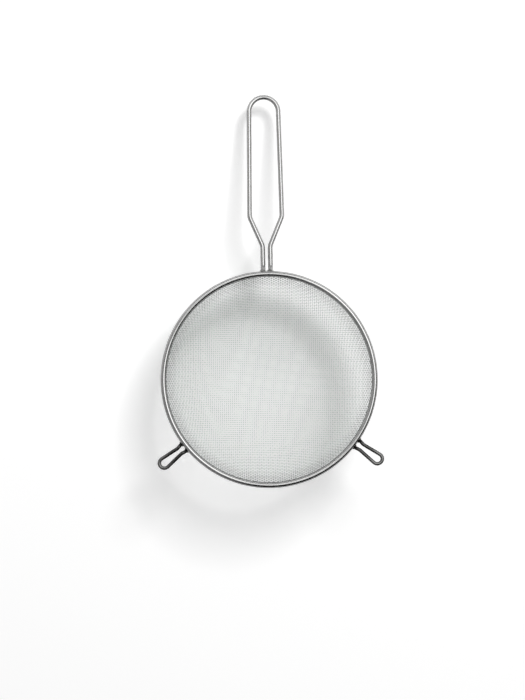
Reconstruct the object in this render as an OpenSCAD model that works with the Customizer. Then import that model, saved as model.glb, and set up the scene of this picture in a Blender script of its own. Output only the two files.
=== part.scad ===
// Round mesh sieve with a bent-wire handle and two wire rest ears.
// Sizes are in millimetres. Every piece is drawn with the bowl's axis along Z, its rim facing +Z at
// height 0 and the handle along +Y. hung() then turns the whole sieve to hang by its handle loop.

/* [Rim] */
// Outer diameter of the rim band
rim_d = 180; // [150:1:220]
// Width of the rolled bead that faces the user
bead_w = 4.8; // [4.4:0.1:6]
// Thickness of the band's sheet
strip_t = 0.5; // [0.4:0.05:0.7]
// Depth of the band's outer skirt below the bead's crest
skirt_depth = 11; // [10:0.5:16]
// Depth of the band's inner lip below the bead's crest
lip_depth = 5; // [4.8:0.1:5.6]
// Diameter of the wire hoop rolled into the bead
core_wire_d = 2; // [1.6:0.1:2.2]
// Depth of the handle's and the ears' underside below the bead's crest
rest_depth = 5.2; // [4.6:0.1:6]

/* [Mesh bowl] */
// Depth of the bowl below the bead's crest
bowl_depth = 65; // [50:1:80]
// Spacing between neighbouring mesh wires
mesh_pitch = 3; // [2.5:0.5:8]
// Diameter of one mesh wire
mesh_wire_d = 0.7; // [0.5:0.05:0.8]

/* [Handle] */
// Diameter of the handle wire
handle_wire_d = 4; // [3:0.5:5]
// Reach of the handle's outer end beyond the rim's outer edge
handle_reach = 146; // [120:1:200]
// Distance between the two legs' centres where they leave the rim
neck_gap = 6.3; // [6:0.1:10]
// Length of the parallel neck beyond the rim
neck_length = 21; // [16:1:30]
// Distance between the two legs' centres at the shoulders
shoulder_gap = 26.8; // [22:0.2:34]
// Distance from the end of the neck to the shoulders
shoulder_rise = 24; // [18:1:32]
// Centreline radius of the round hanging end
handle_end_r = 12.1; // [9:0.1:16]
// Centreline radius of the bends at the neck and the shoulders
handle_bend_r = 10; // [7:0.5:12]
// Centreline radius of the bend that turns each leg down onto the rim
handle_foot_r = 3; // [2.5:0.5:4.5]

/* [Rest ears] */
// Diameter of the ear wire
ear_wire_d = 3; // [2:0.5:3.5]
// Reach of an ear's tip beyond the rim's outer edge
ear_reach = 26.9; // [20:0.1:36]
// Angle from the handle to each ear, about the bowl's axis
ear_angle = 127.4; // [110:0.1:140]
// Distance between an ear's two legs where they meet the rim
ear_root_gap = 6.8; // [6.7:0.1:9]
// Distance between an ear's two legs at their narrow neck
ear_neck_gap = 5.4; // [4:0.1:6.4]
// Distance from the rim's outer edge to an ear's narrow neck
ear_neck_out = 5; // [4.5:0.5:7]
// Centreline radius of an ear's round tip
ear_tip_r = 4.2; // [3.6:0.1:6]
// Centreline radius of the bends at an ear's neck and feet
ear_bend_r = 2.5; // [1.8:0.1:2.6]

/* [Welds] */
// Length of each weld bead along the rim's skirt
weld_length = 4; // [2:0.5:5]
// Diameter of the round weld bead at the handle's feet
handle_weld_d = 1.7; // [1.5:0.1:2.2]
// Diameter of the round weld bead at the ears' feet
ear_weld_d = 1.5; // [1.2:0.1:1.7]

/* [Clearances] */
// Gap between two pieces that are clamped or welded together
seat_gap = 0.02; // [0.01:0.01:0.05]
// Gap between the mesh and the band's lip
lip_gap = 0.1; // [0.05:0.05:0.2]
// Gap between the cut ends of the mesh wires and the wire hoop above them
edge_gap = 0.3; // [0.2:0.05:0.4]
// Distance that the welded feet stop short of the skirt's lower edge
foot_inset = 0.6; // [0.4:0.1:1.2]

/* [Hidden] */

// Smoothness of round wires and of everything that turns about an axis
wire_fn = 48;
turn_fn = 180;
// Sides of a mesh wire, which is too thin to need a round section
mesh_fn = 8;
// A straight run stops this short of its bend, inside the collar that closes the seam
seam = 0.03;
// That collar's length
collar_length = 0.2;
// What the collar's diameter adds to the wire's
collar_swell = 0.04;
// How far a cutting shape runs past what it cuts
cut_over = 1;
// A weld bead's centre stands out from the skirt by this share of the bead's diameter
weld_rise = 1 / 3;

rim_r = rim_d / 2;
bead_r = bead_w / 2;
bead_mid_r = rim_r - bead_r;
lip_r = rim_r - bead_w;
core_mid_r = rim_r - strip_t - seat_gap - core_wire_d / 2;

// The handle and the ears share one underside plane, so that the sieve rests level on a bowl's edge
handle_z = -rest_depth + handle_wire_d / 2;
ear_z = -rest_depth + ear_wire_d / 2;
foot_end_z = -skirt_depth + foot_inset;

// Two layers of mesh wires lie between two spheres about one centre. The inner sphere just clears the
// band's lip and the outer one reaches the bowl's depth.
mesh_t = 2 * mesh_wire_d + seat_gap;
lip_clear_r = lip_r + strip_t + lip_gap;
lip_to_floor = bowl_depth - mesh_t - lip_depth;
inner_sphere_r = (pow(lip_clear_r, 2) + pow(lip_to_floor, 2)) / (2 * lip_to_floor);
sphere_z = inner_sphere_r + mesh_t - bowl_depth;
weft_r = inner_sphere_r + mesh_wire_d / 2;
warp_r = weft_r + mesh_wire_d + seat_gap;
mesh_edge_z = -(bead_r + core_wire_d / 2 + edge_gap);

// Handle sizes measured from the bowl's axis
handle_end = rim_r + handle_reach;
handle_end_mid = handle_end - handle_wire_d / 2;
neck_end = rim_r + neck_length;
shoulder_at = neck_end + shoulder_rise;
handle_seat_r = rim_r + seat_gap + handle_wire_d / 2;
handle_seat_y = sqrt(pow(handle_seat_r, 2) - pow(neck_gap / 2, 2));
hang_y = handle_end - handle_wire_d;

// Ear sizes, in the ear's own frame with Y pointing out from the bowl's axis
ear_tip_mid = rim_r + ear_reach - ear_wire_d / 2;
ear_seat_r = rim_r + seat_gap + ear_wire_d / 2;
ear_seat_y = sqrt(pow(ear_seat_r, 2) - pow(ear_root_gap / 2, 2));

steel = [0.74, 0.75, 0.75];
dark_steel = [0.34, 0.34, 0.34];
cloth = [0.66, 0.67, 0.67];
weld_tint = [0.55, 0.53, 0.50];

function unit(v) = v / norm(v);

// Angle through which a path turns at point i
function turn_at(path, i) =
    acos(unit(path[i] - path[i - 1]) * unit(path[i + 1] - path[i]));

// Length that a bend of radius r takes from the straight run on each side of point i
function bend_take(path, radii, i) =
    i == 0 || i == len(path) - 1 ? 0 : radii[i] * tan(turn_at(path, i) / 2);

// Straight round rod from point a to point b
module rod(a, b, d) {
    along = unit(b - a);
    side = unit(cross(along, abs(along[2]) < abs(along[0]) + abs(along[1]) ? [0, 0, 1] : [1, 0, 0]));
    up = cross(along, side);
    multmatrix([
        [side[0], up[0], along[0], a[0]],
        [side[1], up[1], along[1], a[1]],
        [side[2], up[2], along[2], a[2]],
        [0, 0, 0, 1],
    ])
        cylinder(h = norm(b - a), d = d, $fn = wire_fn);
}

// Round bend of centreline radius r at point i of a path
module bend(path, i, r, d) {
    along = unit(path[i] - path[i - 1]);
    next = unit(path[i + 1] - path[i]);
    turn = turn_at(path, i);
    inward = unit(next - (along * next) * along);
    centre = path[i] - along * r * tan(turn / 2) + inward * r;
    normal = cross(-inward, along);
    multmatrix([
        [-inward[0], along[0], normal[0], centre[0]],
        [-inward[1], along[1], normal[1], centre[1]],
        [-inward[2], along[2], normal[2], centre[2]],
        [0, 0, 0, 1],
    ])
        rotate_extrude(angle = turn, $fn = turn_fn)
            translate([r, 0])
                circle(d = d, $fn = wire_fn);
}

// Collar that closes the seam between a straight run and a bend at point p, facing along run
module collar(p, run, d) {
    half = run * collar_length / 2;
    rod(p - half, p + half, d + collar_swell);
}

// Wire of diameter d along a path of points, with a bend of its own radius at each inner point. A
// hair-thin collar closes each seam between a straight run and its bend, and the wire's last end.
module bent_wire(path, radii, d) {
    last = len(path) - 1;
    for (i = [0 : last - 1]) {
        run = unit(path[i + 1] - path[i]);
        start = path[i] + run * bend_take(path, radii, i);
        end = path[i + 1] - run * bend_take(path, radii, i + 1);
        rod(start + run * (i == 0 ? 0 : seam), end - run * seam, d);
        if (i > 0)
            collar(start, run, d);
        collar(end, run, d);
    }
    for (i = [1 : last - 1])
        bend(path, i, radii[i], d);
}

// Point where a straight run from a point beside the Y axis meets the round end about a centre on it
function round_end_start(from, centre, r) =
    let (
        reach = norm(centre - from),
        swing = atan2(centre[1] - from[1], centre[0] - from[0]) - asin(r / reach)
    )
    from + sqrt(pow(reach, 2) - pow(r, 2)) * [cos(swing), sin(swing)];

// Loop of one wire: a leg on each side of the Y axis, and a round end that joins them at height z. The
// leg's points are those of the +X side.
module wire_loop(leg, radii, end_y, end_r, z, d) {
    from = leg[len(leg) - 1];
    meet = round_end_start([from[0], from[1]], [0, end_y], end_r);
    half_sweep = atan2(meet[0], meet[1] - end_y);
    path = concat(leg, [[meet[0], meet[1], z]]);
    for (side = [-1, 1])
        bent_wire([for (p = path) [side * p[0], p[1], p[2]]], concat(radii, [0]), d);
    translate([0, end_y, z])
        rotate([0, 0, 90 - half_sweep])
            rotate_extrude(angle = 2 * half_sweep, $fn = turn_fn)
                translate([end_r, 0])
                    circle(d = d, $fn = wire_fn);
}

// Turns the sieve to hang: the loop's inner top at the origin, the handle up, the open side facing -Y
module hung() {
    rotate([90, 0, 0])
        translate([0, -hang_y, -handle_z])
            children();
}

// Mesh wires of one layer, each an arc of the sphere of radius r, all running along Y
module wire_layer(r) {
    edge_r = sqrt(pow(r, 2) - pow(sphere_z - mesh_edge_z, 2));
    last = floor((edge_r - mesh_wire_d) / mesh_pitch);
    for (i = [-last : last]) {
        offset_x = i * mesh_pitch;
        arc_r = sqrt(pow(r, 2) - pow(offset_x, 2));
        half_sweep = acos((sphere_z - mesh_edge_z) / arc_r);
        translate([offset_x, 0, sphere_z])
            rotate([0, 90, 0])
                rotate([0, 0, -half_sweep])
                    rotate_extrude(angle = 2 * half_sweep, $fn = turn_fn)
                        translate([arc_r, 0])
                            circle(d = mesh_wire_d, $fn = mesh_fn);
    }
}

// Rim band: one strip rolled over into a bead, with a long skirt outside and a short lip inside
module rim_band() {
    color(steel)
        hung()
            rotate_extrude($fn = turn_fn)
                union() {
                    difference() {
                        translate([bead_mid_r, -bead_r])
                            circle(r = bead_r, $fn = wire_fn);
                        translate([bead_mid_r, -bead_r])
                            circle(r = bead_r - strip_t, $fn = wire_fn);
                        translate([lip_r - cut_over, -bead_w - bead_r])
                            square([bead_w + 2 * cut_over, bead_w]);
                    }
                    translate([rim_r - strip_t, -skirt_depth])
                        square([strip_t, skirt_depth - bead_r]);
                    translate([lip_r, -lip_depth])
                        square([strip_t, lip_depth - bead_r]);
                }
}

// Wire hoop inside the bead, which stiffens the rim and holds the mesh edge against the lip
module rim_core_wire() {
    color(steel)
        hung()
            translate([0, 0, -bead_r])
                rotate_extrude($fn = turn_fn)
                    translate([core_mid_r, 0])
                        circle(d = core_wire_d, $fn = wire_fn);
}

// Mesh wires that run in line with the handle, on the bowl's outside
module mesh_warp() {
    color(cloth)
        hung()
            wire_layer(warp_r);
}

// Mesh wires that run across them, on the bowl's inside
module mesh_weft() {
    color(cloth)
        hung()
            rotate([0, 0, 90])
                wire_layer(weft_r);
}

// Handle: one wire, up one leg, round the hanging loop and down the other leg
module handle_wire() {
    leg = [
        [neck_gap / 2, handle_seat_y, foot_end_z],
        [neck_gap / 2, handle_seat_y, handle_z],
        [neck_gap / 2, neck_end, handle_z],
        [shoulder_gap / 2, shoulder_at, handle_z],
    ];
    radii = [0, handle_foot_r, handle_bend_r, handle_bend_r];
    color(steel)
        hung()
            wire_loop(leg, radii, handle_end_mid - handle_end_r, handle_end_r, handle_z, handle_wire_d);
}

// Rest ear along +Y of its own frame: a narrow neck that widens to a round tip
module ear() {
    leg = [
        [ear_root_gap / 2, ear_seat_y, foot_end_z],
        [ear_root_gap / 2, ear_seat_y, ear_z],
        [ear_neck_gap / 2, rim_r + ear_neck_out, ear_z],
    ];
    wire_loop(leg, [0, ear_bend_r, ear_bend_r], ear_tip_mid - ear_tip_r, ear_tip_r, ear_z, ear_wire_d);
}

// Rest ear at the lower left, seen from the open side
module ear_left() {
    color(dark_steel)
        hung()
            rotate([0, 0, ear_angle])
                ear();
}

// Rest ear at the lower right, seen from the open side
module ear_right() {
    color(dark_steel)
        hung()
            rotate([0, 0, -ear_angle])
                ear();
}

// Weld beads in the two notches between one foot and the skirt, each a wire's radius to the side. The
// foot stands at the angle at, counted from X about the bowl's axis.
module foot_welds(at, foot_d, bead_d) {
    seat_r = rim_r + seat_gap + foot_d / 2;
    turn_z = asin(foot_d / 2 / rim_r);
    for (side = [-1, 1])
        rotate([0, 0, at + side * turn_z])
            difference() {
                translate([rim_r + bead_d * weld_rise, 0, foot_end_z])
                    cylinder(h = weld_length, d = bead_d, $fn = wire_fn);
                translate([0, 0, -skirt_depth])
                    cylinder(h = skirt_depth, r = rim_r + seat_gap, $fn = 2 * turn_fn);
                rotate([0, 0, -side * turn_z])
                    translate([seat_r, 0, -skirt_depth])
                        cylinder(h = skirt_depth, d = foot_d + 2 * seat_gap, $fn = wire_fn);
            }
}

// Weld beads that join the handle's two feet to the rim band
module handle_welds() {
    foot_turn = asin(neck_gap / 2 / handle_seat_r);
    color(weld_tint)
        hung()
            for (side = [-1, 1])
                foot_welds(90 + side * foot_turn, handle_wire_d, handle_weld_d);
}

// Weld beads that join the ears' four feet to the rim band
module ear_welds() {
    foot_turn = asin(ear_root_gap / 2 / ear_seat_r);
    color(weld_tint)
        hung()
            for (ear_side = [-1, 1], side = [-1, 1])
                foot_welds(90 + ear_side * ear_angle + side * foot_turn, ear_wire_d, ear_weld_d);
}

rim_band();
rim_core_wire();
mesh_warp();
mesh_weft();
handle_wire();
handle_welds();
ear_left();
ear_right();
ear_welds();
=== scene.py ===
import math

import bpy
import numpy as np
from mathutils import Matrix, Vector


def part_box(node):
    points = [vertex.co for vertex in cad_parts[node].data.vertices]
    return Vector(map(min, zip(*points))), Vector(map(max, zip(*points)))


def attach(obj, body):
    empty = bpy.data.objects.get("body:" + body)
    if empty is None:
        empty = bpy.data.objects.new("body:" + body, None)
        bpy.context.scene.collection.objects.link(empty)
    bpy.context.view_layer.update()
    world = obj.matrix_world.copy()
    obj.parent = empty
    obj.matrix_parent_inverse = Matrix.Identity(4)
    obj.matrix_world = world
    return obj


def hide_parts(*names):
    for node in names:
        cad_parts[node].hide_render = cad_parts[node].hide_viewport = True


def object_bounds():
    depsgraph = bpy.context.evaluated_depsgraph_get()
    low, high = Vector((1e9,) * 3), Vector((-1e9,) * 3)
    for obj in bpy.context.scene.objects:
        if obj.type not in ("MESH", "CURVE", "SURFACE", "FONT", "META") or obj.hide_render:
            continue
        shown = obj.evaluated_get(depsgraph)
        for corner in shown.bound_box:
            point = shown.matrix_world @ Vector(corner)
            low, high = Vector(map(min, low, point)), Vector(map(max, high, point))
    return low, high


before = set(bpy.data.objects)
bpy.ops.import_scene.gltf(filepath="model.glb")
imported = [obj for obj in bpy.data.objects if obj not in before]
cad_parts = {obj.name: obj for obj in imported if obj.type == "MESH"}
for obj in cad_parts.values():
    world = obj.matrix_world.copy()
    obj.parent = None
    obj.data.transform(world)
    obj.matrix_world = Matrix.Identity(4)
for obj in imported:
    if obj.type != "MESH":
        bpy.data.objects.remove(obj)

cad_low, cad_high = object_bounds()

# Sizes are in metres. Points of the sieve are written in its bench frame: the bowl's axis along z,
# the rim's crest at z 0 and the handle along +y. hung() takes them to the row frame, where the
# sieve hangs with its open side to -y.
MM_PER_M = 1000

# Rim: a strip rolled into a bead, with a skirt outside and a lip inside. The roller left it uneven:
# by how much, how often the longest wave fits round the rim, and the seed of the waves' phases.
rim_low, rim_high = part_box("rim_band")
RIM_R = (rim_high.x - rim_low.x) / 2
AXIS_Z = (rim_high.z + rim_low.z) / 2
CREST_Y = rim_low.y
SKIRT_DEPTH = rim_high.y - rim_low.y
BEAD_W = 0.0048
STRIP_T = 0.0005
LIP_DEPTH = 0.005
RIM_STEPS = 720
SKIRT_POINTS, BEAD_POINTS, LIP_POINTS, LIP_INSIDE_POINTS, HEM_POINTS = 9, 37, 5, 4, 9
UNEVEN_RADIUS, RADIUS_WAVES, RADIUS_SEED = 0.00003, 9, 3
UNEVEN_CREST, CREST_WAVES, CREST_SEED = 0.00002, 7, 8

# What touches the rim: the gap it leaves, the plane of the wires' undersides and the feet's ends
SEAT_GAP = 0.00002
REST_DEPTH = 0.0052
FOOT_SHORT = 0.0006
FOOT_END = -SKIRT_DEPTH + FOOT_SHORT

# Mesh: a plain weave on the sphere midway between the CAD's two layers of wire. A wire keeps its
# height for WEAVE_CROWN of a pitch to each side of a crossing. The margins are shares of the strip
# that a wire has on the bake map.
WEAVE_PITCH = 0.0019
WEAVE_WIRE_R = 0.00017
WEAVE_LIFT = WEAVE_WIRE_R * 1.03
WEAVE_CROWN = 0.22
WEAVE_SIDES = np.radians([45, 135, 225, 315])
MESH_EDGE_Z = -0.0037
BAKE_MARGIN_ALONG, BAKE_MARGIN_ACROSS = 0.01, 0.1
LIP_CLEARANCE = 0.0001
CAD_MESH_WIRE_D = 0.0007
CAD_MESH_T = 2 * CAD_MESH_WIRE_D + SEAT_GAP
BOWL_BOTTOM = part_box("mesh_warp")[1].y - CREST_Y
LIP_CLEAR_R = RIM_R - BEAD_W + STRIP_T + LIP_CLEARANCE
LIP_TO_FLOOR = BOWL_BOTTOM - CAD_MESH_T - LIP_DEPTH
INNER_SPHERE_R = (LIP_CLEAR_R ** 2 + LIP_TO_FLOOR ** 2) / (2 * LIP_TO_FLOOR)
SPHERE_Z = INNER_SPHERE_R + CAD_MESH_T - BOWL_BOTTOM
SPHERE_R = INNER_SPHERE_R + CAD_MESH_T / 2

# Handle wire
HANDLE_D = 0.004
HANDLE_END = cad_high.z - AXIS_Z
NECK_GAP = 0.0063
NECK_END = RIM_R + 0.021
SHOULDER_GAP = 0.0268
SHOULDER_AT = NECK_END + 0.024
HANDLE_END_R = 0.0121
HANDLE_BEND_R = 0.010
HANDLE_FOOT_R = 0.003
HANDLE_STEP, HANDLE_SIDES = 0.0006, 40

# Rest ears
EAR_D = 0.003
EAR_REACH = 0.0269
EAR_ANGLE = math.radians(127.4)
EAR_ROOT_GAP = 0.0068
EAR_NECK_GAP = 0.0054
EAR_NECK_OUT = 0.005
EAR_TIP_R = 0.0042
EAR_BEND_R = 0.0025
EAR_STEP, EAR_SIDES = 0.0004, 32

# Welds: beads a little slimmer than in the CAD, with ripples, and tapered to their ends
WELD_LENGTH = 0.004
WELD_MIDDLE = FOOT_END + WELD_LENGTH / 2
HANDLE_WELD_D = 0.0017
EAR_WELD_D = 0.0015
WELD_FILL = 0.96
WELD_INSET = 0.0001
WELD_RIPPLE, WELD_RIPPLES = 0.07, 4.5
WELD_TAPER, WELD_TAPER_POWER = 0.35, 5
WELD_STEPS, WELD_SIDES = 41, 20

# Cut ends of wires: how far they bulge, in radii, and the angles of their rings
END_BULGE = 0.3
END_ANGLES = np.radians([2, 30, 60])

# Steel. Noise is given as scale and detail. A surface is a side below SIDE_FACING and a front or
# back above FRONT_FACING, both cosines, and painted shade darkens the sides. The rim's sides lose
# that painted shade from BRIGHT_DEPTH behind the crest, and fully so over BRIGHT_RAMP. A spot is
# full within SPOT_CORE of its reach.
LINES, LINE_STRETCH, LINE_SHARE = (2.0, 4.0), (0.06, 5.0, 1.0), 0.35
CLOUDS, CLOUD_ROUGHNESS = (90.0, 3.0), 0.05
MARKS, RELIEF_STRENGTH, RELIEF_DEPTH = (900.0, 2.0), 0.06, 0.00004
SIDE_FACING, FRONT_FACING = 0.45, 0.75
BRIGHT_DEPTH, BRIGHT_RAMP = 0.0027, 0.0015
SPOT_CORE = 0.4
# Matt spots: a real pickled finish, with a pale colour that is painted light over their dark
MATT_LIT_COLOUR, MATT_METALLIC, MATT_ROUGHNESS = (0.86, 0.86, 0.85, 1), 0.35, 0.3
EDGE_TINT = (0.3, 0.3, 0.3, 1)

# Spots at the welded feet: reach, and place out from the rim and up from the rest plane. The rim
# by the ears gets heat tint there, the ear roots painted shade, and the handle's bends and weld
# seams painted light.
EAR_SPOT_REACH = 0.006
EAR_ROOT_REACH, EAR_ROOT_OUT = 0.02, 0.003
HANDLE_BEND_REACH, HANDLE_BEND_OUT, HANDLE_BEND_UP = 0.0048, 0.001, 0.001
HANDLE_SEAM_REACH = 0.009

# Mesh wire's steel. Each painted tone is the distance at which it starts, where it ends, and the
# share of the brightness from there on: painted shade for a wire's place in its layer, painted
# highlight for the place along a wire, and painted shade for the distance from the bowl's axis.
MESH_CLOUDS, MESH_SPECKS, MESH_SPECK_SHARE = (28.0, 4.0), (700.0, 1.0), 0.3
MESH_DARK, MESH_LIGHT = (0.475, 0.525, 0.495, 1), (0.60, 0.65, 0.62, 1)
MESH_SPECK_COLOUR = (0.40, 0.45, 0.42, 1)
MESH_ROUGHNESS, MESH_METALLIC = (0.26, 0.38), 0.3
MESH_PAINTED_TONES = ((0.045, 0.085, 0.8), (0.03, 0.075, 1.35), (0.0765, 0.0835, 0.5))

# Wall and light
WHITE = (1, 1, 1, 1)
WALL_COLOUR = (0.92, 0.92, 0.92, 1)
WALL_HALF = 2.0
WALL_AT_BOWL = 0.0636
WALL_AT_LOOP = 0.0175
WALL_EXTRA = 0.25
AMBIENT = 0.24
KEY_AIM_UP = 0.05
KEY_FROM = (0.36, -1.0, 0.52)
KEY_AWAY = 4.0
KEY_SIZE = 1.5
KEY_POWER = 143

# Dome: its brightness rises with the height of a direction. Each window is a direction, the cosines
# at its edge and its core, and its brightness.
DOME_R = 3.0
DOME_BACK = 0.04
DOME_ROWS, DOME_COLUMNS = 48, 96
DOME_UP = (0.02, 0.0, 1.0)
DOME_DARK_AT = -0.40
DOME_PALE_AT = 0.50
DOME_DARK = 0.02
DOME_PALE = 0.28
DOME_WINDOWS = [
    ((0.33, -0.92, 0.115), 0.885, 0.985, 1.8),
    ((-0.75, -0.55, 0.30), 0.78, 0.96, 0.38),
    ((0.34, -0.85, 0.47), 0.93, 0.985, 1.4),
    ((-0.20, -0.87, 0.44), 0.945, 0.99, 1.45),
    ((-0.64, -0.66, -0.30), 0.72, 0.96, 0.26),
]

# Camera. The picture's size and the rim's centre and diameter in it are in pixels.
PICTURE_W, PICTURE_H = 525, 700
RIM_PX = (269.15, 379.6)
RIM_D_PX = 217.5
SENSOR = 36
CAMERA_AWAY = 1.6
CAMERA_ROLL = 1.2


def unit(v):
    return v / np.linalg.norm(v)


def units(rows):
    return rows / np.linalg.norm(rows, axis=1)[:, None]


def hung(points):
    """Points of the bench frame in the row frame."""
    p = np.asarray(points, float)
    return np.stack([p[..., 0], CREST_Y - p[..., 2], AXIS_Z + p[..., 1]], -1)


def turned(points, angle):
    """Points turned about the bowl's axis."""
    x, y, z = points.T
    c, s = math.cos(angle), math.sin(angle)
    return np.stack([c * x - s * y, s * x + c * y, z], -1)


def waves(at, seed, size, longest):
    """Small smooth irregularity along a length: four waves of random phase, about size at most."""
    random = np.random.default_rng(seed)
    total = np.zeros_like(at)
    for k in range(1, 5):
        total += np.sin(2 * math.pi * at * k / longest + random.uniform(0, 2 * math.pi)) / k
    return size * total / 2


def new_object(name, data):
    obj = bpy.data.objects.new(name, data)
    bpy.context.scene.collection.objects.link(obj)
    return obj


def new_piece(name, part, material, replaced, uv_name="wire"):
    """Smooth mesh object that rides with the sieve in place of CAD nodes. part holds its vertices,
    its faces, and one uv pair for each corner of each face."""
    vertices, faces, uv = part
    mesh = bpy.data.meshes.new(name)
    mesh.vertices.add(len(vertices))
    mesh.vertices.foreach_set("co", vertices.ravel())
    mesh.loops.add(faces.size)
    mesh.loops.foreach_set("vertex_index", faces.ravel())
    mesh.polygons.add(len(faces))
    mesh.polygons.foreach_set("loop_start", np.arange(0, faces.size, faces.shape[1]))
    mesh.update(calc_edges=True)
    mesh.validate()
    mesh.shade_smooth()
    layer = mesh.uv_layers.new(name=uv_name)
    layer.data.foreach_set("uv", np.asarray(uv, np.float32).ravel())
    mesh.materials.append(material)
    piece = new_object(name, mesh)
    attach(piece, "root")
    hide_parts(*replaced)


def joined(parts):
    """Vertices, faces and corner uvs of several parts as one."""
    vertices, faces, uvs, base = [], [], [], 0
    for v, f, uv in parts:
        vertices.append(v)
        faces.append(f + base)
        uvs.append(uv)
        base += len(v)
    return np.vstack(vertices), np.vstack(faces), np.vstack(uvs)


def lengths(path):
    """Length along a path at each of its points."""
    return np.concatenate([[0], np.cumsum(np.linalg.norm(np.diff(path, axis=0), axis=1))])


def one_more(steps):
    """Rising numbers, and one more as far past the last as that is past the one before."""
    return np.append(steps, steps[-1] + (steps[-1] - steps[-2]))


def skin(rings, along, around, closed_along=False):
    """Quads over rings of points, with uvs in millimetres along and around."""
    n, m = rings.shape[:2]
    i = np.arange(n if closed_along else n - 1)[:, None]
    j = np.arange(m)[None, :]
    i2, j2 = (i + 1) % n, (j + 1) % m
    faces = np.stack([i * m + j, i2 * m + j, i2 * m + j2, i * m + j2], -1).reshape(-1, 4)
    along, around = one_more(along), one_more(around)
    u, v = np.broadcast_arrays(along[i], around[j])
    u2, v2 = np.broadcast_arrays(along[i + 1], around[j + 1])
    uv = np.stack([u, v, u2, v, u2, v2, u, v2], -1).reshape(-1, 2) * MM_PER_M
    return rings.reshape(-1, 3), faces, uv


def frames(path):
    """Tangent and two square directions at each point of a path, turned as little as possible."""
    tangent = units(np.gradient(path, axis=0))
    side = np.zeros_like(path)
    start = np.array([0, 0, 1.0]) if abs(tangent[0][2]) < 0.9 else np.array([1.0, 0, 0])
    side[0] = unit(np.cross(tangent[0], start))
    for i in range(1, len(path)):
        side[i] = unit(side[i - 1] - tangent[i] * (side[i - 1] @ tangent[i]))
    return tangent, side, np.cross(tangent, side)


def rings_round(centres, side, up, angle, radii):
    """A ring of points round each centre, in the plane of its two directions."""
    return (
        centres[:, None, :]
        + side[:, None, :] * (np.cos(angle)[None, :, None] * radii[:, None, None])
        + up[:, None, :] * (np.sin(angle)[None, :, None] * radii[:, None, None])
    )


def tube(path, radius, sides):
    """Round wire along a path, with bulging cut ends. radius is one number, or one a point."""
    radius = np.broadcast_to(radius, len(path))
    tangent, side, up = frames(path)
    head = [path[0] - tangent[0] * (END_BULGE * radius[0] * math.cos(a)) for a in END_ANGLES]
    tail = [path[-1] + tangent[-1] * (END_BULGE * radius[-1] * math.cos(a)) for a in END_ANGLES]
    narrow = np.sin(END_ANGLES)
    centres = np.vstack([head, path, tail[::-1]])
    radii = np.concatenate([narrow * radius[0], radius, narrow[::-1] * radius[-1]])
    ends = len(END_ANGLES)
    index = np.clip(np.arange(-ends, len(path) + ends), 0, len(path) - 1)
    angle = np.linspace(0, 2 * math.pi, sides, endpoint=False)
    rings = rings_round(centres, side[index], up[index], angle, radii)
    return skin(rings, lengths(centres), angle * radius.mean())


def filled(points, step):
    """The path's own points, with more on its long straight runs."""
    path = [points[0]]
    for a, b in zip(points[:-1], points[1:]):
        count = max(1, math.ceil(np.linalg.norm(b - a) / step))
        path += [a + (b - a) * k / count for k in range(1, count + 1)]
    return path


def rounded(corners, radii, step):
    """Points along a path whose inner corners are bends. radii has one for each corner, and the
    path's two ends don't use theirs."""
    corners = [np.array(c, float) for c in corners]
    path = [corners[0]]
    for before, corner, after, radius in zip(corners, corners[1:], corners[2:], radii[1:]):
        along, out = unit(corner - before), unit(after - corner)
        turn = math.acos(along @ out)
        start = corner - along * radius * math.tan(turn / 2)
        inward = unit(out - (along @ out) * along)
        centre = start + inward * radius
        count = max(3, math.ceil(radius * turn / step))
        for a in np.linspace(0, turn, count + 1):
            path.append(centre + radius * (along * math.sin(a) - inward * math.cos(a)))
    return filled(path + [corners[-1]], step)


def wire_loop(leg, radii, end_y, end_r, step):
    """Path of a wire up one leg, round its end and down the other. leg holds the corners of the +x
    side, and end_y is the middle of the round end."""
    x, y, z = leg[-1]
    reach = math.hypot(x, end_y - y)
    swing = math.atan2(end_y - y, -x) - math.asin(end_r / reach)
    run = math.sqrt(reach ** 2 - end_r ** 2)
    meet = np.array([x + run * math.cos(swing), y + run * math.sin(swing), z])
    half = math.atan2(meet[0], meet[1] - end_y)
    one = rounded([*leg, meet], [*radii, 0], step)
    count = math.ceil(2 * half * end_r / step)
    arc = [
        np.array([end_r * math.sin(a), end_y + end_r * math.cos(a), z])
        for a in np.linspace(half, -half, count + 1)[1:-1]
    ]
    other = [p * np.array([-1, 1, 1]) for p in reversed(one)]
    return np.array(one + arc + other)


def empty_tree(owner):
    """The node tree of a material or a world, emptied."""
    owner.use_nodes = True
    owner.node_tree.nodes.clear()
    return owner.node_tree


def add(tree, kind, inputs=None, **settings):
    """A shader node with its settings and inputs. An input that is a socket is linked."""
    node = tree.nodes.new(kind)
    for key, value in settings.items():
        setattr(node, key, value)
    for key, value in (inputs or {}).items():
        if isinstance(value, bpy.types.NodeSocket):
            tree.links.new(value, node.inputs[key])
        else:
            node.inputs[key].default_value = value
    return node


def maths(tree, operation, *values):
    node = add(tree, "ShaderNodeMath", dict(enumerate(values)), operation=operation)
    return node.outputs["Value"]


def vector(tree, operation, *values, result="Vector"):
    node = add(tree, "ShaderNodeVectorMath", dict(enumerate(values)), operation=operation)
    return node.outputs[result]


def scaled(tree, colour, factor):
    inputs = {0: colour, "Scale": factor}
    return add(tree, "ShaderNodeVectorMath", inputs, operation="SCALE").outputs["Vector"]


def ranged(tree, value, low, high, start, end, kind="SMOOTHSTEP"):
    """A value from low to high taken to start to end, and held there outside."""
    inputs = {"Value": value, "From Min": low, "From Max": high, "To Min": start, "To Max": end}
    return add(tree, "ShaderNodeMapRange", inputs, interpolation_type=kind).outputs["Result"]


def mapped(tree, value, low, high):
    """A value of 0 to 1 taken to another range."""
    return ranged(tree, value, 0.0, 1.0, low, high, "LINEAR")


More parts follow.
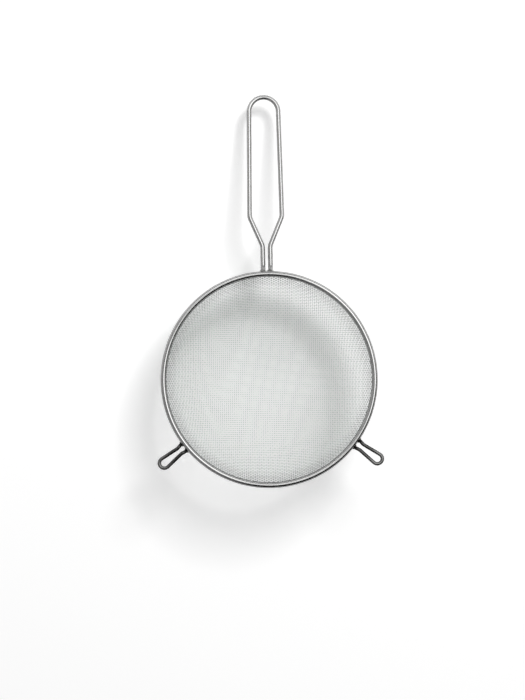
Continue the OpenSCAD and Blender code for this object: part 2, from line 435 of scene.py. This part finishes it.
def mixed(tree, share, first, second):
    """Two colours mixed by a share. The node's sockets 6, 7 and 2 are those of colours."""
    inputs = {"Factor": share, 6: first, 7: second}
    return add(tree, "ShaderNodeMix", inputs, data_type="RGBA").outputs[2]


def noise(tree, place, scale, detail):
    inputs = {"Vector": place, "Scale": scale, "Detail": detail}
    return add(tree, "ShaderNodeTexNoise", inputs).outputs["Fac"]


def parts_of(tree, value):
    """The x, y and z of a vector."""
    return add(tree, "ShaderNodeSeparateXYZ", {"Vector": value}).outputs


def closeness(tree, place, spots):
    """1 at each of some places in the row frame, falling to 0 at its reach."""
    level = None
    for at, reach in spots:
        away = vector(tree, "DISTANCE", place, at, result="Value")
        near = ranged(tree, away, reach * SPOT_CORE, reach, 1.0, 0.0)
        level = near if level is None else maths(tree, "MAXIMUM", level, near)
    return level


def steel(name, dark, light, rough, streak, sides,
          tint_and_shade_at=(), tint_and_shade=None, matt_and_lit_at=(), unshaded_past=None):
    """Steel with drawing or rolling lines along the piece, cloudy sheen and small marks. Painted
    shade darkens its sides against its front and back: the sides keep the share of the brightness
    that sides gives, but have all of it past y unshaded_past. tint_and_shade_at lists places in the
    row frame, each with its reach, that get welding's heat tint or painted shade, and
    tint_and_shade holds two colours and how much they cover. matt_and_lit_at lists places, each
    with its reach, that get a matt pickled finish with a pale colour over it, which is painted
    light."""
    material = bpy.data.materials.new(name)
    tree = empty_tree(material)
    place = add(tree, "ShaderNodeTexCoord").outputs["Object"]
    wire = add(tree, "ShaderNodeUVMap", uv_map="wire").outputs["UV"]
    stretch = add(tree, "ShaderNodeMapping", {"Vector": wire, "Scale": LINE_STRETCH})
    lines = noise(tree, stretch.outputs["Vector"], *LINES)
    clouds = noise(tree, place, *CLOUDS)
    marks = noise(tree, place, *MARKS)
    colour = mixed(tree, clouds, (*dark, 1), (*light, 1))
    colour = mixed(tree, mapped(tree, lines, 0.0, LINE_SHARE), colour, (*dark, 1))
    # Heat tint at the rim's spots, painted shade at the ear roots
    if tint_and_shade_at:
        one, other, share = tint_and_shade
        tinted_and_shaded = mixed(tree, clouds, (*one, 1), (*other, 1))
        cover = mapped(tree, closeness(tree, place, tint_and_shade_at), 0.0, share)
        colour = mixed(tree, cover, colour, tinted_and_shaded)
    # Painted shade: sides darker than fronts and backs, by the normal's y
    facing = parts_of(tree, add(tree, "ShaderNodeNewGeometry").outputs["Normal"])["Y"]
    facing = maths(tree, "ABSOLUTE", facing)
    painted_side_shade = ranged(tree, facing, SIDE_FACING, FRONT_FACING, sides, 1.0)
    if unshaded_past is not None:
        depth = parts_of(tree, place)["Y"]
        deep = ranged(tree, depth, unshaded_past, unshaded_past + BRIGHT_RAMP, 0.0, 1.0, "LINEAR")
        painted_side_shade = maths(tree, "MAXIMUM", painted_side_shade, deep)
    colour = scaled(tree, colour, painted_side_shade)
    cloudy = mapped(tree, clouds, rough - CLOUD_ROUGHNESS, rough + CLOUD_ROUGHNESS)
    roughness = maths(tree, "ADD", cloudy, mapped(tree, lines, -streak, streak))
    metallic = 1.0
    # Painted light: a pale colour over the dark of these spots, with a real matt pickled finish
    if matt_and_lit_at:
        matt_and_lit = closeness(tree, place, matt_and_lit_at)
        colour = mixed(tree, matt_and_lit, colour, MATT_LIT_COLOUR)
        metallic = mapped(tree, matt_and_lit, 1.0, MATT_METALLIC)
        roughness = maths(tree, "ADD", roughness, mapped(tree, matt_and_lit, 0.0, MATT_ROUGHNESS))
    relief = maths(tree, "MULTIPLY", lines, marks)
    bump = add(
        tree, "ShaderNodeBump",
        {"Height": relief, "Strength": RELIEF_STRENGTH, "Distance": RELIEF_DEPTH},
    )
    shader = add(tree, "ShaderNodeBsdfPrincipled", {
        "Base Color": colour,
        "Roughness": roughness,
        "Normal": bump.outputs["Normal"],
        "Metallic": metallic,
        "Specular Tint": EDGE_TINT,
    })
    add(tree, "ShaderNodeOutputMaterial", {"Surface": shader.outputs["BSDF"]})
    return material


def woven_steel(name, across, along):
    """Thin drawn wire of one layer of the mesh: softer sheen with faint cloudy tarnish, and painted
    light and shade: darker on the outer wires, brighter towards each wire's ends, and darkest next
    to the rim. across is the axis that counts the layer's wires, and along the one that they run
    in."""
    material = bpy.data.materials.new(name)
    tree = empty_tree(material)
    place = add(tree, "ShaderNodeTexCoord").outputs["Object"]
    clouds = noise(tree, place, *MESH_CLOUDS)
    specks = noise(tree, place, *MESH_SPECKS)
    colour = mixed(tree, clouds, MESH_DARK, MESH_LIGHT)
    colour = mixed(tree, mapped(tree, specks, 0.0, MESH_SPECK_SHARE), colour, MESH_SPECK_COLOUR)
    out = vector(tree, "SUBTRACT", place, (0, 0, AXIS_Z))
    flat = vector(tree, "MULTIPLY", out, (1, 0, 1))
    from_axis = vector(tree, "LENGTH", flat, result="Value")
    out = parts_of(tree, vector(tree, "ABSOLUTE", out))
    # Painted shade and highlight by place on the mesh
    for far, (low, high, rest) in zip((out[across], out[along], from_axis), MESH_PAINTED_TONES):
        colour = scaled(tree, colour, ranged(tree, far, low, high, 1.0, rest))
    shader = add(tree, "ShaderNodeBsdfPrincipled", {
        "Base Color": colour,
        "Roughness": mapped(tree, clouds, *MESH_ROUGHNESS),
        "Metallic": MESH_METALLIC,
    })
    add(tree, "ShaderNodeOutputMaterial", {"Surface": shader.outputs["BSDF"]})
    return material


def foot_places():
    """Each welded foot's angle about the bowl's axis, wire diameter and weld bead diameter."""
    places = []
    seat = RIM_R + SEAT_GAP + HANDLE_D / 2
    for side in (-1, 1):
        foot = math.asin(NECK_GAP / 2 / seat)
        places.append((math.pi / 2 + side * foot, HANDLE_D, HANDLE_WELD_D))
    seat = RIM_R + SEAT_GAP + EAR_D / 2
    for ear_side in (-1, 1):
        for side in (-1, 1):
            foot = math.asin(EAR_ROOT_GAP / 2 / seat)
            places.append((math.pi / 2 + ear_side * EAR_ANGLE + side * foot, EAR_D, EAR_WELD_D))
    return places


def feet(foot_d, r, z, reach):
    """Places in the row frame at the welded feet of one wire diameter, each with its reach."""
    return [
        (tuple(hung([r * math.cos(a), r * math.sin(a), z])), reach)
        for a, d, _ in foot_places()
        if d == foot_d
    ]


def weld_bead(angle, foot_d, bead_d, side, seed):
    """Rippled bead in the notch between a foot and the skirt."""
    at = angle + side * math.asin(foot_d / 2 / RIM_R)
    r = RIM_R + bead_d / 3
    z = np.linspace(FOOT_END + WELD_INSET, FOOT_END + WELD_LENGTH - WELD_INSET, WELD_STEPS)
    share = (z - z[0]) / (z[-1] - z[0])
    ripple = WELD_RIPPLE * np.sin(share * 2 * math.pi * WELD_RIPPLES + seed)
    taper = WELD_TAPER * np.abs(2 * share - 1) ** WELD_TAPER_POWER
    path = np.stack([np.full_like(z, r * math.cos(at)), np.full_like(z, r * math.sin(at)), z], -1)
    return tube(hung(path), bead_d / 2 * WELD_FILL * (1 + ripple - taper), WELD_SIDES)


def rim_profile():
    """Closed outline of the strip, as radius and z: skirt, bead, lip, and back along the inside."""
    bead_r = BEAD_W / 2
    mid = RIM_R - bead_r
    hem = STRIP_T / 2
    skirt_end, lip_end = -SKIRT_DEPTH + hem, -LIP_DEPTH + hem
    half_turn = np.linspace(0, math.pi, BEAD_POINTS)
    hem_turn = np.linspace(0, math.pi, HEM_POINTS)[1:]
    outside = [(RIM_R, z) for z in np.linspace(skirt_end, -bead_r, SKIRT_POINTS)[:-1]]
    outside += [
        (mid + bead_r * math.cos(a), -bead_r + bead_r * math.sin(a)) for a in half_turn
    ]
    outside += [(RIM_R - BEAD_W, z) for z in np.linspace(-bead_r, lip_end, LIP_POINTS)[1:]]
    lip_hem = [
        (RIM_R - BEAD_W + hem - hem * math.cos(a), lip_end - hem * math.sin(a)) for a in hem_turn
    ]
    inner_r = bead_r - STRIP_T
    lip_inside = np.linspace(lip_end, -bead_r, LIP_INSIDE_POINTS)
    inside = [(RIM_R - BEAD_W + STRIP_T, z) for z in lip_inside[1:-1]]
    inside += [
        (mid - inner_r * math.cos(a), -bead_r + inner_r * math.sin(a)) for a in half_turn[::2]
    ]
    inside += [(RIM_R - STRIP_T, z) for z in np.linspace(-bead_r, skirt_end, SKIRT_POINTS)[1:]]
    skirt_hem = [
        (RIM_R - hem - hem * math.cos(a), skirt_end - hem * math.sin(a)) for a in hem_turn[:-1]
    ]
    return np.array(outside + lip_hem + inside + skirt_hem)


def rim_band(material):
    """The rolled strip, turned about the bowl's axis, a little uneven as a roller leaves it."""
    profile = rim_profile()
    angle = np.linspace(0, 2 * math.pi, RIM_STEPS, endpoint=False)
    length = angle * RIM_R
    girth = 2 * math.pi * RIM_R
    uneven = waves(length, RADIUS_SEED, UNEVEN_RADIUS, girth / RADIUS_WAVES)
    lift = waves(length, CREST_SEED, UNEVEN_CREST, girth / CREST_WAVES)
    r = profile[None, :, 0] - np.abs(uneven)[:, None]
    z = profile[None, :, 1] - np.abs(lift)[:, None]
    rings = np.stack([r * np.cos(angle)[:, None], r * np.sin(angle)[:, None], z], -1)
    part = skin(hung(rings), length, lengths(profile), closed_along=True)
    new_piece("rim", part, material, ["rim_band"])


def handle(material):
    """One thick wire: foot, neck, shoulder, hanging loop and back."""
    z = -REST_DEPTH + HANDLE_D / 2
    seat = RIM_R + SEAT_GAP + HANDLE_D / 2
    foot_y = math.sqrt(seat ** 2 - (NECK_GAP / 2) ** 2)
    leg = [
        (NECK_GAP / 2, foot_y, FOOT_END),
        (NECK_GAP / 2, foot_y, z),
        (NECK_GAP / 2, NECK_END, z),
        (SHOULDER_GAP / 2, SHOULDER_AT, z),
    ]
    radii = [0, HANDLE_FOOT_R, HANDLE_BEND_R, HANDLE_BEND_R]
    end_y = HANDLE_END - HANDLE_D / 2 - HANDLE_END_R
    path = wire_loop(leg, radii, end_y, HANDLE_END_R, HANDLE_STEP)
    part = tube(hung(path), HANDLE_D / 2, HANDLE_SIDES)
    new_piece("handle", part, material, ["handle_wire"])


def ear(name, side, material):
    """One thin wire: foot, narrow neck, round tip and back."""
    z = -REST_DEPTH + EAR_D / 2
    seat = RIM_R + SEAT_GAP + EAR_D / 2
    foot_y = math.sqrt(seat ** 2 - (EAR_ROOT_GAP / 2) ** 2)
    leg = [
        (EAR_ROOT_GAP / 2, foot_y, FOOT_END),
        (EAR_ROOT_GAP / 2, foot_y, z),
        (EAR_NECK_GAP / 2, RIM_R + EAR_NECK_OUT, z),
    ]
    end_y = RIM_R + EAR_REACH - EAR_D / 2 - EAR_TIP_R
    path = wire_loop(leg, [0, EAR_BEND_R, EAR_BEND_R], end_y, EAR_TIP_R, EAR_STEP)
    part = tube(hung(turned(path, side * EAR_ANGLE)), EAR_D / 2, EAR_SIDES)
    new_piece(name, part, material, [name])


def weave_net():
    """Crossings of a woven square pressed into the sphere, from -n to n both ways, about the
    sphere's centre. No wire stretches: each new crossing mirrors the one before across its two
    neighbours. limit is the mesh edge's angle from the bowl's axis."""
    limit = math.acos((SPHERE_Z - MESH_EDGE_Z) / SPHERE_R)
    step = 2 * math.asin(WEAVE_PITCH / 2 / SPHERE_R)
    n = int(limit / step) + 3
    quarter = np.zeros((n + 1, n + 1, 3))
    for k in range(n + 1):
        out, down = SPHERE_R * math.sin(k * step), -SPHERE_R * math.cos(k * step)
        quarter[k, 0] = (out, 0, down)
        quarter[0, k] = (0, out, down)
    for i in range(1, n + 1):
        for j in range(1, n + 1):
            square = unit(np.cross(quarter[i - 1, j], quarter[i, j - 1]))
            last = quarter[i - 1, j - 1]
            quarter[i, j] = last - 2 * (last @ square) * square
    index = np.arange(-n, n + 1)
    net = quarter[np.abs(index)][:, np.abs(index)]
    net[:, :, 0] *= np.sign(index)[:, None]
    net[:, :, 1] *= np.sign(index)[None, :]
    return net, n, limit


def weave_wire(points, lifts, limit):
    """Centres of the rings along one wire of the weave, and the directions square to the sphere
    there. There are two rings at each crossing, over or under it, and one where the wire reaches
    the mesh's edge."""
    polar = np.arccos(np.clip(-points[:, 2] / SPHERE_R, -1, 1))
    inside = np.flatnonzero(polar <= limit)
    if len(inside) < 2:
        return None
    first, last = inside[0], inside[-1]
    places, heights = [], []
    for k in range(first, last + 1):
        for other in (k - 1, k + 1):
            places.append(points[k] + (points[other] - points[k]) * WEAVE_CROWN)
            heights.append(lifts[k])
    for edge, beyond, at in ((last, last + 1, len(places)), (first, first - 1, 0)):
        share = (limit - polar[edge]) / max(polar[beyond] - polar[edge], 1e-9)
        if share > WEAVE_CROWN:
            places.insert(at, points[edge] + (points[beyond] - points[edge]) * share)
            heights.insert(at, lifts[edge] * (1 - share))
    radial = units(np.array(places))
    return radial * (SPHERE_R + np.array(heights))[:, None], radial


def weave_tube(centres, radial, order, count):
    """Four-sided tube along one weave wire, with its own strip of the bake map."""
    tangent = np.gradient(centres, axis=0)
    side = units(np.cross(tangent, radial))
    up = units(np.cross(side, tangent))
    n, m = len(centres), len(WEAVE_SIDES)
    rings = rings_round(centres, side, up, WEAVE_SIDES, np.full(n, WEAVE_WIRE_R))
    i, j = np.arange(n - 1)[:, None], np.arange(m)[None, :]
    i2, j2 = i + 1, (j + 1) % m
    faces = np.stack([i * m + j, i * m + j2, i2 * m + j2, i2 * m + j], -1)
    low = (order + BAKE_MARGIN_ACROSS) / count
    high = (order + 1 - BAKE_MARGIN_ACROSS) / count
    v1, v2 = low + (high - low) * j / m, low + (high - low) * (j + 1) / m
    span = 1 - 2 * BAKE_MARGIN_ALONG
    u1, u2 = BAKE_MARGIN_ALONG + span * i / (n - 1), BAKE_MARGIN_ALONG + span * i2 / (n - 1)
    u1, v1, u2, v2 = np.broadcast_arrays(u1, v1, u2, v2)
    uv = np.stack([u1, v1, u1, v2, u2, v2, u2, v1], -1).reshape(-1, 2)
    return rings.reshape(-1, 3), faces.reshape(-1, 4), uv


def cloth():
    """The woven mesh, in four pieces: two halves of the wires in line with the handle, and two of
    those across it."""
    net, n, limit = weave_net()
    index = np.arange(2 * n + 1)
    sign = 1 - 2 * ((index[:, None] + index[None, :]) % 2)
    layers = (
        ("warp", ("X", "Z"), net, sign * WEAVE_LIFT, ("left", "right")),
        ("weft", ("Z", "X"), net.transpose(1, 0, 2), -sign * WEAVE_LIFT, ("lower", "upper")),
    )
    for layer, axes, grid, lifts, halves in layers:
        material = woven_steel(layer + "_steel", *axes)
        wires = [weave_wire(points, heights, limit) for points, heights in zip(grid, lifts)]
        for half, chosen in zip(halves, (wires[:n], wires[n:])):
            kept = [wire for wire in chosen if wire is not None]
            parts = []
            for order, (centres, radial) in enumerate(kept):
                v, f, uv = weave_tube(centres + [0, 0, SPHERE_Z], radial, order, len(kept))
                parts.append((hung(v), f, uv))
            node = "mesh_" + layer
            new_piece(f"cloth_{layer}_{half}", joined(parts), material, [node], "OFBake")


def welds(name, foot_d, material, node):
    """The weld beads on both sides of every foot of one wire diameter."""
    parts = [
        weld_bead(*place, side, seed)
        for seed, place in enumerate(foot_places())
        for side in (-1, 1)
        if place[1] == foot_d
    ]
    new_piece(name, joined(parts), material, [node])


def seen(tree):
    """1 for rays from the camera or off steel, which show a thing itself, and 0 for others."""
    rays = add(tree, "ShaderNodeLightPath").outputs
    straight = maths(tree, "MAXIMUM", rays["Is Camera Ray"], rays["Is Glossy Ray"])
    return maths(tree, "MAXIMUM", straight, rays["Is Transmission Ray"])


def wall_paint():
    """Matt white. Seen straight or in steel it gets a little more light, and from behind it isn't
    there."""
    material = bpy.data.materials.new("wall_paint")
    tree = empty_tree(material)
    extra = mapped(tree, seen(tree), 0.0, WALL_EXTRA)
    paint = add(tree, "ShaderNodeBsdfDiffuse", {"Color": WALL_COLOUR}).outputs["BSDF"]
    glow = add(tree, "ShaderNodeEmission", {"Color": WHITE, "Strength": extra}).outputs["Emission"]
    both = add(tree, "ShaderNodeAddShader", {0: paint, 1: glow}).outputs["Shader"]
    behind = add(tree, "ShaderNodeNewGeometry").outputs["Backfacing"]
    clear = add(tree, "ShaderNodeBsdfTransparent").outputs["BSDF"]
    out = add(tree, "ShaderNodeMixShader", {"Fac": behind, 1: both, 2: clear})
    add(tree, "ShaderNodeOutputMaterial", {"Surface": out.outputs["Shader"]})
    return material


def wall(material):
    """White wall that the sieve hangs on: the loop near it, the bowl's bottom against it."""
    lean = math.atan2(WALL_AT_BOWL - WALL_AT_LOOP, -AXIS_Z)
    across, up = np.array([1.0, 0, 0]), np.array([0, -math.sin(lean), math.cos(lean)])
    centre = np.array([0, WALL_AT_BOWL, AXIS_Z])
    corners = [
        centre + across * WALL_HALF * a + up * WALL_HALF * b
        for a, b in ((-1, -1), (1, -1), (1, 1), (-1, 1))
    ]
    mesh = bpy.data.meshes.new("wall")
    mesh.from_pydata([tuple(c) for c in corners], [], [(0, 1, 2, 3)])
    mesh.materials.append(material)
    obj = new_object("wall", mesh)


def dome_card():
    """Glowing card, grey and paler with height, with a pale window in some directions."""
    material = bpy.data.materials.new("dome_card")
    tree = empty_tree(material)
    place = add(tree, "ShaderNodeNewGeometry").outputs["Position"]
    toward = vector(tree, "NORMALIZE", vector(tree, "SUBTRACT", place, (0, 0, AXIS_Z)))
    height = vector(tree, "DOT_PRODUCT", toward, DOME_UP, result="Value")
    level = ranged(tree, height, DOME_DARK_AT, DOME_PALE_AT, DOME_DARK, DOME_PALE)
    for direction, edge, core, strength in DOME_WINDOWS:
        middle = tuple(Vector(direction).normalized())
        near = vector(tree, "DOT_PRODUCT", toward, middle, result="Value")
        window = ranged(tree, near, edge, core, 0.0, strength)
        level = maths(tree, "MAXIMUM", level, window)
    card = add(tree, "ShaderNodeEmission", {"Color": WHITE, "Strength": level})
    add(tree, "ShaderNodeOutputMaterial", {"Surface": card.outputs["Emission"]})
    return material


def dome(material):
    """The rest of the room, seen only in the steel. It gives the round wires their dark edges."""
    rows, count = DOME_ROWS, DOME_COLUMNS
    tilt = np.linspace(0.0, math.pi / 2 + DOME_BACK, rows)
    turn = np.linspace(0, 2 * math.pi, count, endpoint=False)
    ring = np.stack([
        np.sin(tilt)[:, None] * np.cos(turn)[None, :],
        np.broadcast_to(-np.cos(tilt)[:, None], (rows, count)),
        np.sin(tilt)[:, None] * np.sin(turn)[None, :],
    ], -1) * DOME_R + [0, 0, AXIS_Z]
    i, j = np.arange(rows - 1)[:, None], np.arange(count)[None, :]
    j2 = (j + 1) % count
    faces = [i * count + j, i * count + j2, (i + 1) * count + j2, (i + 1) * count + j]
    faces = np.stack(faces, -1).reshape(-1, 4)
    mesh = bpy.data.meshes.new("dome")
    mesh.from_pydata(ring.reshape(-1, 3).tolist(), [], faces.tolist())
    mesh.materials.append(material)
    obj = new_object("dome", mesh)
    for kind in ("camera", "diffuse", "transmission", "volume_scatter", "shadow"):
        setattr(obj, "visible_" + kind, False)


def studio():
    """Pale surroundings and one soft lamp up to the right of the camera."""
    world = bpy.data.worlds.new("studio")
    bpy.context.scene.world = world
    tree = empty_tree(world)
    level = mapped(tree, seen(tree), AMBIENT, 1.0)
    sky = add(tree, "ShaderNodeBackground", {"Color": WHITE, "Strength": level})
    add(tree, "ShaderNodeOutputWorld", {"Surface": sky.outputs["Background"]})
    lamp = bpy.data.lights.new("key", "AREA")
    lamp.shape = "DISK"
    lamp.size = KEY_SIZE
    lamp.energy = KEY_POWER
    obj = new_object("key", lamp)
    aim = Vector((0, 0, AXIS_Z + KEY_AIM_UP))
    obj.location = aim + Vector(KEY_FROM).normalized() * KEY_AWAY
    obj.rotation_mode = "QUATERNION"
    obj.rotation_quaternion = (aim - obj.location).to_track_quat("-Z", "Y")
    obj.visible_glossy = False


def camera():
    """Straight in front, rolled a little, with the rim where the photo has it."""
    scale = 2 * RIM_R / RIM_D_PX
    roll = math.radians(CAMERA_ROLL)
    right = Vector((math.cos(roll), 0, -math.sin(roll)))
    up = Vector((math.sin(roll), 0, math.cos(roll)))
    rim = Vector((0, CREST_Y, AXIS_Z))
    across, down = RIM_PX[0] - PICTURE_W / 2, RIM_PX[1] - PICTURE_H / 2
    data = bpy.data.cameras.new("camera")
    data.sensor_width = SENSOR
    data.lens = data.sensor_width * CAMERA_AWAY / (PICTURE_H * scale)
    obj = new_object("camera", data)
    back = Vector((0, CAMERA_AWAY, 0))
    obj.location = rim - right * across * scale + up * down * scale - back
    obj.rotation_mode = "XYZ"
    obj.rotation_euler = (math.pi / 2, roll, 0)
    bpy.context.scene.camera = obj


camera()
studio()
wall(wall_paint())
dome(dome_card())

# Colours near the welds, and how much they cover: straw is heat tint, and the near black at the
# ear roots is painted shade
straw = ((0.42, 0.30, 0.17), (0.25, 0.24, 0.30), 0.45)
painted_root_shade = ((0.08, 0.08, 0.08), (0.13, 0.13, 0.125), 0.95)

ear_spots = feet(EAR_D, RIM_R, WELD_MIDDLE, EAR_SPOT_REACH)
shaded_ear_roots = feet(EAR_D, RIM_R + EAR_ROOT_OUT, -REST_DEPTH, EAR_ROOT_REACH)
# Painted light at the handle's weld seams and bends, over a real matt finish
lit_handle_seams = feet(HANDLE_D, RIM_R, WELD_MIDDLE, HANDLE_SEAM_REACH)
lit_handle_bends = feet(
    HANDLE_D, RIM_R + HANDLE_BEND_OUT, -REST_DEPTH + HANDLE_BEND_UP, HANDLE_BEND_REACH,
)

polished = steel(
    "rolled_steel", dark=(0.62, 0.62, 0.62), light=(0.76, 0.76, 0.75), rough=0.19, streak=0.05,
    sides=0.38, tint_and_shade_at=ear_spots, tint_and_shade=straw, unshaded_past=CREST_Y + BRIGHT_DEPTH,
)
drawn = steel(
    "drawn_steel", dark=(0.66, 0.66, 0.66), light=(0.80, 0.80, 0.79), rough=0.22, streak=0.06,
    sides=0.6, matt_and_lit_at=lit_handle_bends,
)
# Painted shade: the ears' darker steel stands in for the dark reflections they show
dark_ear_steel = steel(
    "ear_steel_painted_dark", dark=(0.22, 0.22, 0.22), light=(0.33, 0.33, 0.32), rough=0.2, streak=0.05,
    sides=0.6, tint_and_shade_at=shaded_ear_roots, tint_and_shade=painted_root_shade,
)
welded = steel(
    "weld_steel", dark=(0.52, 0.51, 0.50), light=(0.70, 0.69, 0.67), rough=0.30, streak=0.08,
    sides=1.0, matt_and_lit_at=lit_handle_seams,
)
burnt = steel(
    "burnt_weld_steel", dark=(0.10, 0.10, 0.09), light=(0.22, 0.21, 0.19), rough=0.36, streak=0.08,
    sides=1.0,
)

rim_band(polished)
handle(drawn)
ear("ear_left", 1, dark_ear_steel)
ear("ear_right", -1, dark_ear_steel)
cloth()
welds("handle_weld_beads", HANDLE_D, welded, "handle_welds")
welds("ear_weld_beads", EAR_D, burnt, "ear_welds")

# The wire hoop inside the bead stays the CAD's, in drawn steel
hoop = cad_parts["rim_core_wire"]
hoop.data.materials.clear()
hoop.data.materials.append(drawn)

bpy.context.scene.view_settings.view_transform = "Standard"
